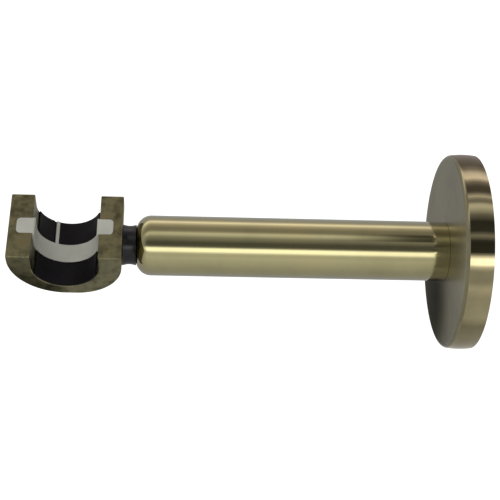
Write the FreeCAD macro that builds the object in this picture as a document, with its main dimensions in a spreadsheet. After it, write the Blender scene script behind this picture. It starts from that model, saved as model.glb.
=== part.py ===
import FreeCAD, Part
import math
import os
import Sketcher

# Curtain pole bracket. Millimetres. The wall is the plane X = 0 and the bracket stands out along -X.
# The barrel's axis is the X axis, Z is up, and Y runs along the pole that the cup holds.

os.makedirs("parts", exist_ok=True)
doc = FreeCAD.newDocument("PoleBracket")
sheet = doc.addObject("Spreadsheet::Sheet", "Sizes")

SIZES = {
    # Rose: hollow cast cover
    "rose_radius": 41.0,
    "rose_depth": 11.0,
    "rose_back_radius": 40.7,
    "rose_shoulder_radius": 40.7,
    "rose_face_radius": 38.9,
    "rose_edge_depth": 1.8,
    "rose_rim_round": 35.4,
    "rose_wall": 2.5,
    "rose_skirt_radius": 37.8,
    "rose_bolt_hole": 3.3,
    "lug_inner_radius": 35.9,
    "lug_width": 9.0,
    "lug_start": 1.6,
    "grub_offset": 4.4,
    # Wall plate: dished steel plate behind the rose
    "plate_radius": 35.5,
    "plate_sheet": 2.0,
    "plate_flange": 6.0,
    "plate_bore": 9.0,
    "plate_bend": 1.6,
    "plate_screw_circle": 46.0,
    "plate_screw_hole": 4.6,
    "plate_screw_head": 8.2,
    # Barrel: tube closed and rounded at its front end
    "barrel_radius": 12.5,
    "barrel_wall": 1.25,
    "barrel_front": 140.5,
    "barrel_round": 6.2,
    "barrel_end_wall": 1.6,
    "barrel_hole": 4.2,
    "plug_length": 13.0,
    "plug_groove": 0.5,
    # Bolt, washers, stud and grub screw
    "bolt_radius": 3.0,
    "bolt_length": 18.0,
    "bolt_head": 4.0,
    "bolt_flats": 10.0,
    "washer_radius": 6.0,
    "washer_sheet": 1.6,
    "spring_radius": 5.6,
    "spring_sheet": 1.6,
    "spring_split": 1.2,
    "stud_radius": 4.0,
    "stud_tail": 12.0,
    "stud_grip": 7.1,
    "grub_radius": 2.0,
    "grub_socket": 1.0,
    "grub_sink": 0.6,
    "thread_lead": 0.6,
    # Neck collar: waisted spacer
    "collar_end_radius": 8.5,
    "collar_waist_radius": 8.0,
    "collar_length": 5.4,
    "collar_bore": 4.1,
    # Cup: cradle with an open top
    "cup_width": 46.0,
    "cup_length": 31.5,
    "cup_arc_height": 9.7,
    "cup_heel_radius": 19.0,
    "cup_top": 12.6,
    "cup_edge": 0.5,
    "bore_shift": 0.1,
    "bore_radius": 13.5,
    "bore_height": 5.5,
    # Liner and strap inside the bore
    "liner_radius": 12.9,
    "liner_edge": 0.8,
    "seat_radius": 12.5,
    "groove_radius": 13.2,
    "strap_width": 8.6,
    "ear_width": 7.6,
    "ear_sheet": 1.2,
    "ear_round": 1.6,
    "ear_left_margin": 3.2,
    "ear_right_margin": 3.8,
    "strap_lip": 0.8,
    "peg_radius": 1.5,
    "peg_length": 3.0,
    "peg_clearance": 0.3,
    "rib_offset": 5.4,
    "rib_width": 1.4,
    "rib_radius": 12.7,
    "rib_gap": 1.0,
}
for row, (name, value) in enumerate(SIZES.items(), start=1):
    sheet.set(f"A{row}", name)
    sheet.set(f"B{row}", str(value))
    sheet.setAlias(f"B{row}", name)
doc.recompute()

DERIVED = {
    # Places worked out from the sizes above
    "cup_side": "barrel_front + collar_length",
    "cup_centre": "cup_side + cup_width / 2",
    "bore_centre": "cup_centre - bore_shift",
    "cup_far_side": "cup_side + cup_width",
    "liner_drop": "bore_height - liner_edge",
    "ear_left": "cup_far_side - ear_left_margin",
    "ear_right": "cup_side + ear_right_margin",
    "ear_floor": "cup_top - ear_sheet",
    "plug_radius": "barrel_radius - barrel_wall",
    "rose_inside": "rose_depth - rose_wall",
    "washer_back": "rose_inside - washer_sheet",
    "spring_back": "washer_back - spring_sheet",
    "bolt_tip": "spring_back + bolt_length",
}
for row, (name, rule) in enumerate(DERIVED.items(), start=len(SIZES) + 2):
    sheet.set(f"A{row}", name)
    sheet.set(f"B{row}", "=" + rule)
    sheet.setAlias(f"B{row}", name)
    doc.recompute()

NAMES = sorted(list(SIZES) + list(DERIVED), key=len, reverse=True)


def bound(rule):
    """The same rule with every size name pointing at the sheet."""
    words = []
    word = ""
    for sign in str(rule) + " ":
        if sign.isalnum() or sign == "_":
            word += sign
        else:
            words.append("Sizes." + word if word in NAMES else word)
            words.append(sign)
            word = ""
    return "".join(words).strip()


def size(rule):
    """The present value of a rule, in millimetres or degrees."""
    found = sheet.evalExpression(bound(rule))
    return float(getattr(found, "Value", found))


def new_body(name):
    body = doc.addObject("PartDesign::Body", name)
    body.Label = name
    body.Placement = FreeCAD.Placement()
    return body


def origin_feature(body, role):
    return next(f for f in body.Origin.OriginFeatures if f.Role == role)


def new_sketch(body, name, plane, offset=None):
    """A sketch on one of the body's own planes, moved along the plane's normal by offset."""
    sketch = body.newObject("Sketcher::SketchObject", name)
    sketch.AttachmentSupport = [(origin_feature(body, plane), "")]
    sketch.MapMode = "FlatFace"
    if offset is not None:
        sketch.setExpression(".AttachmentOffset.Base.z", bound(offset))
    return sketch


def pin(sketch, geometry, point, x_rule, y_rule):
    """Ties a point of the sketch to its two distances from the origin."""
    for kind, rule in (("DistanceX", x_rule), ("DistanceY", y_rule)):
        index = sketch.addConstraint(
            Sketcher.Constraint(kind, -1, 1, geometry, point, size(rule)))
        sketch.setExpression(f"Constraints[{index}]", bound(rule))


def outline(sketch, corners, arcs=None):
    """A closed outline through corners. arcs gives, for a side's number, its radius and a point it passes.

    A half circle is held by its centre's height instead of its radius, given as a third item.
    """
    arcs = arcs or {}
    points = [FreeCAD.Vector(size(x), size(y), 0) for x, y in corners]
    sides = []
    for index, start in enumerate(points):
        end = points[(index + 1) % len(points)]
        if index in arcs:
            via_x, via_y = arcs[index][1]
            through = FreeCAD.Vector(size(via_x), size(via_y), 0)
            curve = Part.Arc(start, through, end)
            side = sketch.addGeometry(curve, False)
            # An arc may run the other way round, so its ends are matched to the corners
            first = sketch.getPoint(side, 1)
            ends = (1, 2) if first.distanceToPoint(start) < first.distanceToPoint(end) else (2, 1)
        else:
            side = sketch.addGeometry(Part.LineSegment(start, end), False)
            ends = (1, 2)
        sides.append((side, ends))
    for index, (side, ends) in enumerate(sides):
        after, after_ends = sides[(index + 1) % len(sides)]
        sketch.addConstraint(Sketcher.Constraint("Coincident", side, ends[1], after, after_ends[0]))
        pin(sketch, side, ends[0], *corners[index])
        if index in arcs and len(arcs[index]) == 3:
            rule = arcs[index][2]
            number = sketch.addConstraint(Sketcher.Constraint("DistanceY", -1, 1, side, 3, size(rule)))
            sketch.setExpression(f"Constraints[{number}]", bound(rule))
        elif index in arcs:
            rule = arcs[index][0]
            number = sketch.addConstraint(Sketcher.Constraint("Radius", side, size(rule)))
            sketch.setExpression(f"Constraints[{number}]", bound(rule))


def circle(sketch, x_rule, y_rule, radius_rule):
    centre = FreeCAD.Vector(size(x_rule), size(y_rule), 0)
    ring = sketch.addGeometry(Part.Circle(centre, FreeCAD.Vector(0, 0, 1), size(radius_rule)), False)
    pin(sketch, ring, 3, x_rule, y_rule)
    number = sketch.addConstraint(Sketcher.Constraint("Radius", ring, size(radius_rule)))
    sketch.setExpression(f"Constraints[{number}]", bound(radius_rule))


def solid_feature(body, kind, name, sketch, length=None, midplane=False, reverse=False, through=False):
    """A Pad or Pocket of a sketch."""
    feature = body.newObject("PartDesign::" + kind, name)
    feature.Profile = sketch
    if through:
        feature.Type = "ThroughAll"
    if length is not None:
        feature.setExpression("Length", bound(length))
    feature.Midplane = midplane
    feature.Reversed = reverse
    body.Tip = feature
    doc.recompute()
    return feature


def turned(body, kind, name, sketch):
    """A Revolution or Groove of a sketch about the barrel's axis."""
    feature = body.newObject("PartDesign::" + kind, name)
    feature.Profile = sketch
    feature.ReferenceAxis = (sketch, ["H_Axis"])
    feature.Angle = 360.0
    body.Tip = feature
    doc.recompute()
    return feature


def dress(body, kind, name, chosen, rule):
    """A Fillet or Chamfer on the edges of the body's tip that chosen picks."""
    base = body.Tip
    names = [f"Edge{number}" for number, edge in enumerate(base.Shape.Edges, start=1) if chosen(edge)]
    feature = body.newObject("PartDesign::" + kind, name)
    feature.Base = (base, names)
    feature.setExpression("Radius" if kind == "Fillet" else "Size", bound(rule))
    body.Tip = feature
    doc.recompute()
    return feature


def middle(edge):
    return edge.valueAt((edge.FirstParameter + edge.LastParameter) / 2)


def flat_at(edge, axis, place):
    """True where an edge lies in the plane where the axis (0, 1 or 2) has this value."""
    points = [vertex.Point for vertex in edge.Vertexes] + [middle(edge)]
    return all(abs(point[axis] - place) < 1e-4 for point in points)


def make_rose():
    """Hollow cast cover: flat front, rounded front edge, barrelled rim, and a lug for the grub screw."""
    body = new_body("rose")
    profile = new_sketch(body, "RoseProfile", "XZ_Plane")
    outline(profile, [
        ("-rose_depth", "rose_bolt_hole"),
        ("-rose_depth", "rose_face_radius"),
        ("-rose_depth + rose_edge_depth", "rose_shoulder_radius"),
        ("0", "rose_back_radius"),
        ("0", "rose_skirt_radius"),
        ("-rose_inside", "rose_skirt_radius"),
        ("-rose_inside", "rose_bolt_hole"),
    ], {
        1: ("rose_edge_depth * 1.02",
            ("-rose_depth + 0.35 * rose_edge_depth", "rose_shoulder_radius - 0.30 * rose_edge_depth")),
        2: ("rose_rim_round", ("-rose_depth / 2 + rose_edge_depth / 2", "rose_radius")),
    })
    turned(body, "Revolution", "RoseShell", profile)

    lug = new_sketch(body, "LugOutline", "YZ_Plane", "-rose_inside")
    half = "lug_width / 2"
    outline(lug, [
        ("-" + half, "-lug_inner_radius"),
        (half, "-lug_inner_radius"),
        (half, "-sqrt((rose_skirt_radius + 0.6)^2 - (lug_width / 2)^2)"),
        ("-" + half, "-sqrt((rose_skirt_radius + 0.6)^2 - (lug_width / 2)^2)"),
    ])
    solid_feature(body, "Pad", "Lug", lug, "rose_inside - lug_start")

    drill = new_sketch(body, "GrubHole", "XY_Plane", "-rose_radius - 1")
    circle(drill, "-grub_offset", "0", "grub_radius")
    solid_feature(body, "Pocket", "GrubBore", drill, "rose_radius - lug_inner_radius + 2", reverse=True)
    return body


def make_wall_plate():
    """Pressed steel dish: flat ring against the wall, a flange turned forward, three countersunk holes."""
    body = new_body("wall_plate")
    profile = new_sketch(body, "PlateProfile", "XZ_Plane")
    outline(profile, [
        ("0", "plate_bore"),
        ("-plate_sheet", "plate_bore"),
        ("-plate_sheet", "plate_radius - plate_sheet"),
        ("-plate_flange", "plate_radius - plate_sheet"),
        ("-plate_flange", "plate_radius"),
        ("-plate_bend", "plate_radius"),
        ("0", "plate_radius - plate_bend"),
    ], {
        5: ("plate_bend", ("-plate_bend + plate_bend * cos(45)", "plate_radius - plate_bend + plate_bend * sin(45)")),
    })
    turned(body, "Revolution", "Dish", profile)

    spot = new_sketch(body, "ScrewSpot", "YZ_Plane", "-plate_sheet")
    circle(spot, "0", "plate_screw_circle / 2", "plate_screw_hole / 2")
    doc.recompute()
    hole = body.newObject("PartDesign::Hole", "ScrewHole")
    hole.Profile = spot
    hole.ThreadType = "None"
    hole.DepthType = "ThroughAll"
    hole.Reversed = True
    hole.HoleCutType = "Countersink"
    hole.HoleCutCustomValues = True
    hole.setExpression("Diameter", bound("plate_screw_hole"))
    hole.setExpression("HoleCutDiameter", bound("plate_screw_head"))
    hole.HoleCutCountersinkAngle = 90.0
    body.Tip = hole
    doc.recompute()

    ring = body.newObject("PartDesign::PolarPattern", "ScrewHoles")
    ring.Originals = [hole]
    ring.Axis = (origin_feature(body, "X_Axis"), [""])
    ring.Angle = 360.0
    ring.Occurrences = 3
    body.Tip = ring
    doc.recompute()
    return body


def make_barrel():
    """Tube closed at its front, with a rounded corner and a hole for the stud."""
    body = new_body("barrel")
    profile = new_sketch(body, "BarrelProfile", "XZ_Plane")
    outline(profile, [
        ("-rose_depth", "barrel_radius - barrel_wall"),
        ("-rose_depth", "barrel_radius"),
        ("-barrel_front + barrel_round", "barrel_radius"),
        ("-barrel_front", "barrel_radius - barrel_round"),
        ("-barrel_front", "barrel_hole"),
        ("-barrel_front + barrel_end_wall", "barrel_hole"),
        ("-barrel_front + barrel_end_wall", "barrel_radius - barrel_round"),
        ("-barrel_front + barrel_end_wall + barrel_round - barrel_wall", "barrel_radius - barrel_wall"),
    ], {
        2: ("barrel_round", ("-barrel_front + barrel_round - barrel_round * cos(45)",
                             "barrel_radius - barrel_round + barrel_round * sin(45)")),
        6: ("barrel_round - barrel_wall",
            ("-barrel_front + barrel_end_wall + (barrel_round - barrel_wall) * (1 - cos(45))",
             "barrel_radius - barrel_round + (barrel_round - barrel_wall) * sin(45)")),
    })
    turned(body, "Revolution", "Tube", profile)
    return body


def make_plug(name, near, far, bore, front):
    """Threaded insert: a turned slug with a relief groove and a bore. front rounds it to fit the closed end."""
    body = new_body(name)
    profile = new_sketch(body, "PlugProfile", "XZ_Plane")
    corner = "barrel_round - barrel_wall" if front else "thread_lead"
    groove_mid = f"(({near}) + ({far})) / 2"
    corners = [
        (near, bore),
        (near, "plug_radius - thread_lead"),
        (near + " - thread_lead", "plug_radius"),
        (groove_mid + " + plug_groove * 2", "plug_radius"),
        (groove_mid + " + plug_groove", "plug_radius - plug_groove"),
        (groove_mid + " - plug_groove", "plug_radius - plug_groove"),
        (groove_mid + " - plug_groove * 2", "plug_radius"),
        (f"{far} + {corner}", "plug_radius"),
        (far, f"plug_radius - ({corner})"),
        (far, bore),
    ]
    arcs = {}
    if front:
        arcs[7] = (corner, (f"{far} + ({corner}) * (1 - cos(45))", f"plug_radius - ({corner}) * (1 - sin(45))"))
    outline(profile, corners, arcs)
    turned(body, "Revolution", "Slug", profile)
    return body


def make_bolt():
    """Hexagon bolt that pulls the barrel against the rose, with a chamfered tip."""
    body = new_body("barrel_bolt")
    hexagon = new_sketch(body, "HeadOutline", "YZ_Plane", "-spring_back")
    reach = "bolt_flats / 2 / cos(30)"
    outline(hexagon, [(f"({reach}) * cos({60 * k})", f"({reach}) * sin({60 * k})") for k in range(6)])
    solid_feature(body, "Pad", "Head", hexagon, "bolt_head")
    shank = new_sketch(body, "ShankProfile", "XZ_Plane")
    outline(shank, [
        ("-spring_back", "0"),
        ("-spring_back", "bolt_radius"),
        ("-bolt_tip + thread_lead", "bolt_radius"),
        ("-bolt_tip", "bolt_radius - thread_lead"),
        ("-bolt_tip", "0"),
    ])
    turned(body, "Revolution", "Shank", shank)
    return body


def make_plain_washer():
    body = new_body("plain_washer")
    ring = new_sketch(body, "WasherOutline", "YZ_Plane", "-rose_inside")
    circle(ring, "0", "0", "washer_radius")
    circle(ring, "0", "0", "rose_bolt_hole")
    solid_feature(body, "Pad", "WasherSheet", ring, "washer_sheet")
    return body


def make_spring_washer():
    """Square-section ring with one slanting split."""
    body = new_body("spring_washer")
    ring = new_sketch(body, "SpringOutline", "YZ_Plane", "-washer_back")
    circle(ring, "0", "0", "spring_radius")
    circle(ring, "0", "0", "rose_bolt_hole")
    solid_feature(body, "Pad", "SpringRing", ring, "spring_sheet")
    slit = new_sketch(body, "SplitOutline", "XY_Plane")
    outline(slit, [
        ("-washer_back", "-spring_split"),
        ("-spring_back", "0"),
        ("-spring_back", "spring_split"),
        ("-washer_back", "0"),
    ])
    solid_feature(body, "Pocket", "Split", slit, "spring_radius + 1", reverse=True)
    return body


def make_stud():
    """Threaded stud from the cup, through the collar, into the barrel's front plug."""
    body = new_body("neck_stud")
    profile = new_sketch(body, "StudProfile", "XZ_Plane")
    outline(profile, [
        ("-barrel_front + stud_tail", "0"),
        ("-barrel_front + stud_tail", "stud_radius - thread_lead"),
        ("-barrel_front + stud_tail - thread_lead", "stud_radius"),
        ("-cup_side - stud_grip + thread_lead", "stud_radius"),
        ("-cup_side - stud_grip", "stud_radius - thread_lead"),
        ("-cup_side - stud_grip", "0"),
    ])
    turned(body, "Revolution", "Rod", profile)
    return body


def make_collar():
    """Black spacer with a shallow waist between two fuller ends."""
    body = new_body("neck_collar")
    profile = new_sketch(body, "CollarProfile", "XZ_Plane")
    waist = "((collar_length / 2)^2 + (collar_end_radius - collar_waist_radius)^2)" \
            " / (2 * (collar_end_radius - collar_waist_radius))"
    outline(profile, [
        ("-barrel_front", "collar_bore"),
        ("-barrel_front", "collar_end_radius"),
        ("-cup_side", "collar_end_radius"),
        ("-cup_side", "collar_bore"),
    ], {
        1: (waist, ("-barrel_front - collar_length / 2", "collar_waist_radius")),
    })
    turned(body, "Revolution", "Spool", profile)
    return body


def make_cup():
    """Cast cradle: a rounded underside that is fuller towards the neck, two arms, and a boss for the stud."""
    body = new_body("cup_body")
    side = new_sketch(body, "CupOutline", "XZ_Plane")
    bottom = "cup_arc_height - cup_width / 2"
    outline(side, [
        ("-cup_far_side", "cup_arc_height"),
        ("-cup_centre", bottom),
        ("-cup_side - cup_heel_radius", bottom),
        ("-cup_side", bottom + " + cup_heel_radius"),
        ("-cup_side", "cup_top"),
        ("-cup_far_side", "cup_top"),
    ], {
        0: ("cup_width / 2",
            ("-cup_centre - cup_width / 2 * cos(45)", "cup_arc_height - cup_width / 2 * sin(45)")),
        2: ("cup_heel_radius",
            ("-cup_side - cup_heel_radius * (1 - cos(45))", bottom + " + cup_heel_radius * (1 - sin(45))")),
    })
    solid_feature(body, "Pad", "CupBlock", side, "cup_length", midplane=True)

    boss = new_sketch(body, "BossOutline", "YZ_Plane", "-cup_side")
    circle(boss, "0", "0", "collar_end_radius")
    solid_feature(body, "Pad", "StudBoss", boss, "cup_width / 4", reverse=True)

    channel = new_sketch(body, "BoreOutline", "XZ_Plane")
    outline(channel, [
        ("-bore_centre - bore_radius", "bore_height"),
        ("-bore_centre + bore_radius", "bore_height"),
        ("-bore_centre + bore_radius", "cup_top + 1"),
        ("-bore_centre - bore_radius", "cup_top + 1"),
    ], {
        0: ("bore_radius", ("-bore_centre", "bore_height - bore_radius"), "bore_height"),
    })
    solid_feature(body, "Pocket", "PoleBore", channel, midplane=True, through=True)

    half_length = size("cup_length / 2")
    centre = FreeCAD.Vector(-size("bore_centre"), 0, size("bore_height"))
    rim = size("bore_radius") + 0.2

    def outer_edge(edge):
        on_face = flat_at(edge, 1, half_length) or flat_at(edge, 1, -half_length)
        point = middle(edge)
        away = math.hypot(point.x - centre.x, point.z - centre.z)
        beside_bore = abs(abs(point.x - centre.x) - size("bore_radius")) < 0.1
        return on_face and away > rim and not beside_bore

    dress(body, "Chamfer", "OuterEdges", outer_edge, "cup_edge")

    seats = new_sketch(body, "EarSeats", "XY_Plane", "cup_top")
    for outer, inner in (("-ear_left", "-bore_centre - bore_radius + 1"),
                         ("-ear_right", "-bore_centre + bore_radius - 1")):
        ear_outline(seats, outer, inner)
    solid_feature(body, "Pocket", "EarPockets", seats, "ear_sheet")

    pegs = new_sketch(body, "PegSpots", "XY_Plane", "ear_floor")
    for place in peg_places():
        circle(pegs, place, "0", "peg_radius")
    solid_feature(body, "Pocket", "PegHoles", pegs, "peg_length + peg_clearance")

    tap = new_sketch(body, "StudSpot", "YZ_Plane", "-cup_side")
    circle(tap, "0", "0", "stud_radius")
    solid_feature(body, "Pocket", "StudHole", tap, "stud_grip + peg_clearance")
    return body


def ear_outline(sketch, outer, inner):
    """One ear seen from above: square at the bore, with two rounded corners at its outer end."""
    turn = "ear_round" if size(outer) < size(inner) else "-ear_round"
    half = "ear_width / 2"
    outline(sketch, [
        (inner, "-" + half),
        (f"{outer} + {turn}", "-" + half),
        (outer, f"-{half} + ear_round"),
        (outer, f"{half} - ear_round"),
        (f"{outer} + {turn}", half),
        (inner, half),
    ], {
        1: ("ear_round", (f"{outer} + ({turn}) * (1 - cos(45))", f"-{half} + ear_round * (1 - sin(45))")),
        3: ("ear_round", (f"{outer} + ({turn}) * (1 - cos(45))", f"{half} - ear_round * (1 - sin(45))")),
    })


def peg_places():
    """The middle of each ear along X."""
    return ("(-ear_left - bore_centre - bore_radius) / 2", "(-ear_right - bore_centre + bore_radius) / 2")


def make_liner():
    """Moulded lining of the bore's lower part, grooved for the strap and slotted for its rib."""
    body = new_body("cup_liner")
    arc = new_sketch(body, "LinerOutline", "XZ_Plane")
    outer = "sqrt(bore_radius^2 - liner_drop^2)"
    inner = "sqrt(liner_radius^2 - liner_drop^2)"
    outline(arc, [
        (f"-bore_centre - {outer}", "liner_edge"),
        (f"-bore_centre + {outer}", "liner_edge"),
        (f"-bore_centre + {inner}", "liner_edge"),
        (f"-bore_centre - {inner}", "liner_edge"),
    ], {
        0: ("bore_radius", ("-bore_centre", "bore_height - bore_radius")),
        2: ("liner_radius", ("-bore_centre", "bore_height - liner_radius")),
    })
    solid_feature(body, "Pad", "Lining", arc, "cup_length", midplane=True)

    groove = new_sketch(body, "GrooveOutline", "XZ_Plane")
    circle(groove, "-bore_centre", "bore_height", "groove_radius")
    solid_feature(body, "Pocket", "StrapGroove", groove, "strap_width", midplane=True)

    slot = new_sketch(body, "RibSlotOutline", "XY_Plane", "liner_edge")
    left = "-bore_centre - rib_offset - rib_width / 2 - rib_gap"
    right = "-bore_centre - rib_offset + rib_width / 2"
    outline(slot, [
        (left, "strap_width / 2"),
        (right, "strap_width / 2"),
        (right, "cup_length / 2 + 1"),
        (left, "cup_length / 2 + 1"),
    ])
    solid_feature(body, "Pocket", "RibSlot", slot, through=True)
    return body


def make_strap():
    """White saddle: a seat band, walls that rise onto the arms, an ear each side, pegs and a rib."""
    body = new_body("pole_strap")
    side = new_sketch(body, "StrapOutline", "XZ_Plane")
    brass = "sqrt(bore_radius^2 - liner_drop^2)"
    groove = "sqrt(groove_radius^2 - liner_drop^2)"
    low = "bore_height - bore_radius * sin(45)"
    outline(side, [
        ("-bore_centre - seat_radius", "cup_top"),
        ("-bore_centre - seat_radius", "bore_height"),
        ("-bore_centre + seat_radius", "bore_height"),
        ("-bore_centre + seat_radius", "cup_top"),
        ("-bore_centre + bore_radius", "cup_top"),
        ("-bore_centre + bore_radius", "bore_height"),
        (f"-bore_centre + {brass}", "liner_edge"),
        (f"-bore_centre + {groove}", "liner_edge"),
        (f"-bore_centre - {groove}", "liner_edge"),
        (f"-bore_centre - {brass}", "liner_edge"),
        ("-bore_centre - bore_radius", "bore_height"),
        ("-bore_centre - bore_radius", "cup_top"),
    ], {
        1: ("seat_radius", ("-bore_centre", "bore_height - seat_radius"), "bore_height"),
        5: ("bore_radius", ("-bore_centre + bore_radius * cos(10)", "bore_height - bore_radius * sin(10)")),
        7: ("groove_radius", ("-bore_centre", "bore_height - groove_radius")),
        9: ("bore_radius", ("-bore_centre - bore_radius * cos(10)", "bore_height - bore_radius * sin(10)")),
    })
    solid_feature(body, "Pad", "Band", side, "strap_width", midplane=True)

    top = size("cup_top")
    bends = [size("-bore_centre - seat_radius"), size("-bore_centre + seat_radius")]

    def seat_lip(edge):
        return flat_at(edge, 2, top) and any(flat_at(edge, 0, place) for place in bends)

    dress(body, "Fillet", "SeatLips", seat_lip, "strap_lip")

    ears = new_sketch(body, "EarOutlines", "XY_Plane", "ear_floor")
    ear_outline(ears, "-ear_left", "-bore_centre - seat_radius - 0.2")
    ear_outline(ears, "-ear_right", "-bore_centre + seat_radius + 0.2")
    solid_feature(body, "Pad", "Ears", ears, "ear_sheet")

    pegs = new_sketch(body, "PegOutlines", "XY_Plane", "ear_floor")
    for place in peg_places():
        circle(pegs, place, "0", "peg_radius")
    solid_feature(body, "Pad", "Pegs", pegs, "peg_length", reverse=True)

    rib = new_sketch(body, "RibOutline", "XZ_Plane", "-strap_width / 2")
    left = "rib_offset + rib_width / 2"
    right = "rib_offset - rib_width / 2"
    outline(rib, [
        (f"-bore_centre - ({left})", f"bore_height - sqrt(bore_radius^2 - ({left})^2)"),
        (f"-bore_centre - ({right})", f"bore_height - sqrt(bore_radius^2 - ({right})^2)"),
        (f"-bore_centre - ({right})", f"bore_height - sqrt(rib_radius^2 - ({right})^2)"),
        (f"-bore_centre - ({left})", f"bore_height - sqrt(rib_radius^2 - ({left})^2)"),
    ], {
        0: ("bore_radius", ("-bore_centre - rib_offset", "bore_height - sqrt(bore_radius^2 - rib_offset^2)")),
        2: ("rib_radius", ("-bore_centre - rib_offset", "bore_height - sqrt(rib_radius^2 - rib_offset^2)")),
    })
    solid_feature(body, "Pad", "Rib", rib, "cup_length / 2 - strap_width / 2", reverse=True)
    return body


def make_grub_screw():
    """Headless screw in the rim's underside, with a hexagon socket, bearing on the wall plate."""
    body = new_body("rose_grub_screw")
    rod = new_sketch(body, "GrubOutline", "XY_Plane", "-plate_radius")
    circle(rod, "-grub_offset", "0", "grub_radius")
    solid_feature(body, "Pad", "GrubRod", rod, "rose_radius - plate_radius - grub_sink", reverse=True)
    socket = new_sketch(body, "SocketOutline", "XY_Plane", "-rose_radius + grub_sink")
    outline(socket, [(f"-grub_offset + grub_socket * cos({60 * k})", f"grub_socket * sin({60 * k})")
                     for k in range(6)])
    solid_feature(body, "Pocket", "Socket", socket, "grub_radius", reverse=True)
    return body


bodies = [
    make_wall_plate(),
    make_rose(),
    make_grub_screw(),
    make_plain_washer(),
    make_spring_washer(),
    make_bolt(),
    make_plug("barrel_rear_plug", "-rose_depth", "-rose_depth - plug_length", "bolt_radius", False),
    make_plug("barrel_front_plug", "-barrel_front + barrel_end_wall + plug_length",
              "-barrel_front + barrel_end_wall", "stud_radius", True),
    make_barrel(),
    make_collar(),
    make_stud(),
    make_cup(),
    make_liner(),
    make_strap(),
]
doc.recompute()

for item in doc.Objects:
    if "Invalid" in item.State or "Error" in item.State:
        raise SystemExit(f"{item.Label} failed: {item.State}")
for body in bodies:
    if body.Shape.isNull() or not body.Shape.isValid():
        raise SystemExit(f"{body.Label} has no valid shape")

for body in bodies:
    body.Shape.exportStep(f"parts/{body.Label}.step")
    print(f"{body.Label}: {body.Shape.Volume:.1f} mm3, {len(body.Shape.Solids)} solid")
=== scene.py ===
import math
import bmesh
import bpy
import numpy as np
from mathutils import Matrix, Vector


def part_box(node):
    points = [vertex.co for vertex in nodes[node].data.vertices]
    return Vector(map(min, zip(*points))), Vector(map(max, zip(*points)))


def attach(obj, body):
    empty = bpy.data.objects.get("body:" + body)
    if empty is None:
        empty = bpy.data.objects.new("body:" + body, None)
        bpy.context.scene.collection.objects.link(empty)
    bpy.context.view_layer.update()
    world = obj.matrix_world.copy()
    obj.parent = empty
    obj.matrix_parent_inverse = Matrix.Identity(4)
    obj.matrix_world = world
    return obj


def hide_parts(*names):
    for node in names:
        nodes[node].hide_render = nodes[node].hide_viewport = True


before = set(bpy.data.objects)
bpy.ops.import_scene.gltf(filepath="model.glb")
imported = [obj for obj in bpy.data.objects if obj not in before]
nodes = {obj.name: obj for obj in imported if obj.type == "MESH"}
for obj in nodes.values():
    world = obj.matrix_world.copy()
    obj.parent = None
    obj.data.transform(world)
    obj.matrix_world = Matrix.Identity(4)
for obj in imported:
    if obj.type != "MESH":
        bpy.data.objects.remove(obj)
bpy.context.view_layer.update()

# Camera. The bracket is seen from above and in front, a little from the left, so that the open top of
# the cup, the barrel's upper side and the rose's face all show. Its place is in metres.
camera_place = Vector((-0.126114, -0.287317, 0.410520))
camera_look = Vector((0.0657615, 0.5704494, -0.8186959)).normalized()
camera_up = Vector((-0.0204821, 0.8210707, 0.5704589))
camera_right = camera_look.cross(camera_up).normalized()
camera_up = camera_right.cross(camera_look)
camera_data = bpy.data.cameras.new("camera")
camera_data.sensor_width = 36.0
camera_data.lens = 86.4
camera = bpy.data.objects.new("camera", camera_data)
camera.matrix_world = Matrix((
    (camera_right.x, camera_up.x, -camera_look.x, camera_place.x),
    (camera_right.y, camera_up.y, -camera_look.y, camera_place.y),
    (camera_right.z, camera_up.z, -camera_look.z, camera_place.z),
    (0, 0, 0, 1),
))
bpy.context.scene.collection.objects.link(camera)
bpy.context.scene.camera = camera
bpy.context.scene.view_settings.view_transform = "Standard"


# Studio. A wide pale floor under the bracket, one soft lamp, and softboxes that run beside the barrel.
# What the metal mirrors goes by the angle round the barrel: 0 is level in front, 90 overhead, 180 level
# behind. It stays where it is from any side.
mm = 0.001


def node_in(tree, kind, inputs=None, **settings):
    """A node of that kind with its settings and the plain values of its inputs."""
    node = tree.nodes.new(kind)
    for name, value in settings.items():
        setattr(node, name, value)
    for name, value in (inputs or {}).items():
        node.inputs[name].default_value = value
    return node


def softboxes(name, bands):
    """A node group from a direction or a place to the light there, by its angle round the X axis.

    bands lists angles in degrees from -180 to 180, each with its level. Levels between them are blended.
    """
    group = bpy.data.node_groups.new(name, "ShaderNodeTree")
    group.interface.new_socket("Direction", in_out="INPUT", socket_type="NodeSocketVector")
    group.interface.new_socket("Level", in_out="OUTPUT", socket_type="NodeSocketFloat")
    given = group.nodes.new("NodeGroupInput")
    result = group.nodes.new("NodeGroupOutput")
    parts = node_in(group, "ShaderNodeSeparateXYZ")
    front = node_in(group, "ShaderNodeMath", {1: -1.0}, operation="MULTIPLY")
    angle = node_in(group, "ShaderNodeMath", operation="ARCTAN2")
    share = node_in(group, "ShaderNodeMapRange", {"From Min": -math.pi, "From Max": math.pi})
    ramp = node_in(group, "ShaderNodeValToRGB")
    brightest = max(level for _, level in bands)
    gain = node_in(group, "ShaderNodeMath", {1: brightest}, operation="MULTIPLY")
    steps = ramp.color_ramp.elements
    while len(steps) < len(bands):
        steps.new(0.5)
    for step, (degrees, level) in zip(steps, bands):
        step.position = (degrees + 180) / 360
        step.color = (level / brightest, level / brightest, level / brightest, 1)
    link = group.links.new
    link(given.outputs[0], parts.inputs[0])
    link(parts.outputs["Y"], front.inputs[0])
    link(parts.outputs["Z"], angle.inputs[0])
    link(front.outputs[0], angle.inputs[1])
    link(angle.outputs[0], share.inputs["Value"])
    link(share.outputs[0], ramp.inputs[0])
    link(ramp.outputs["Color"], gain.inputs[0])
    link(gain.outputs[0], result.inputs[0])
    return group


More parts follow.
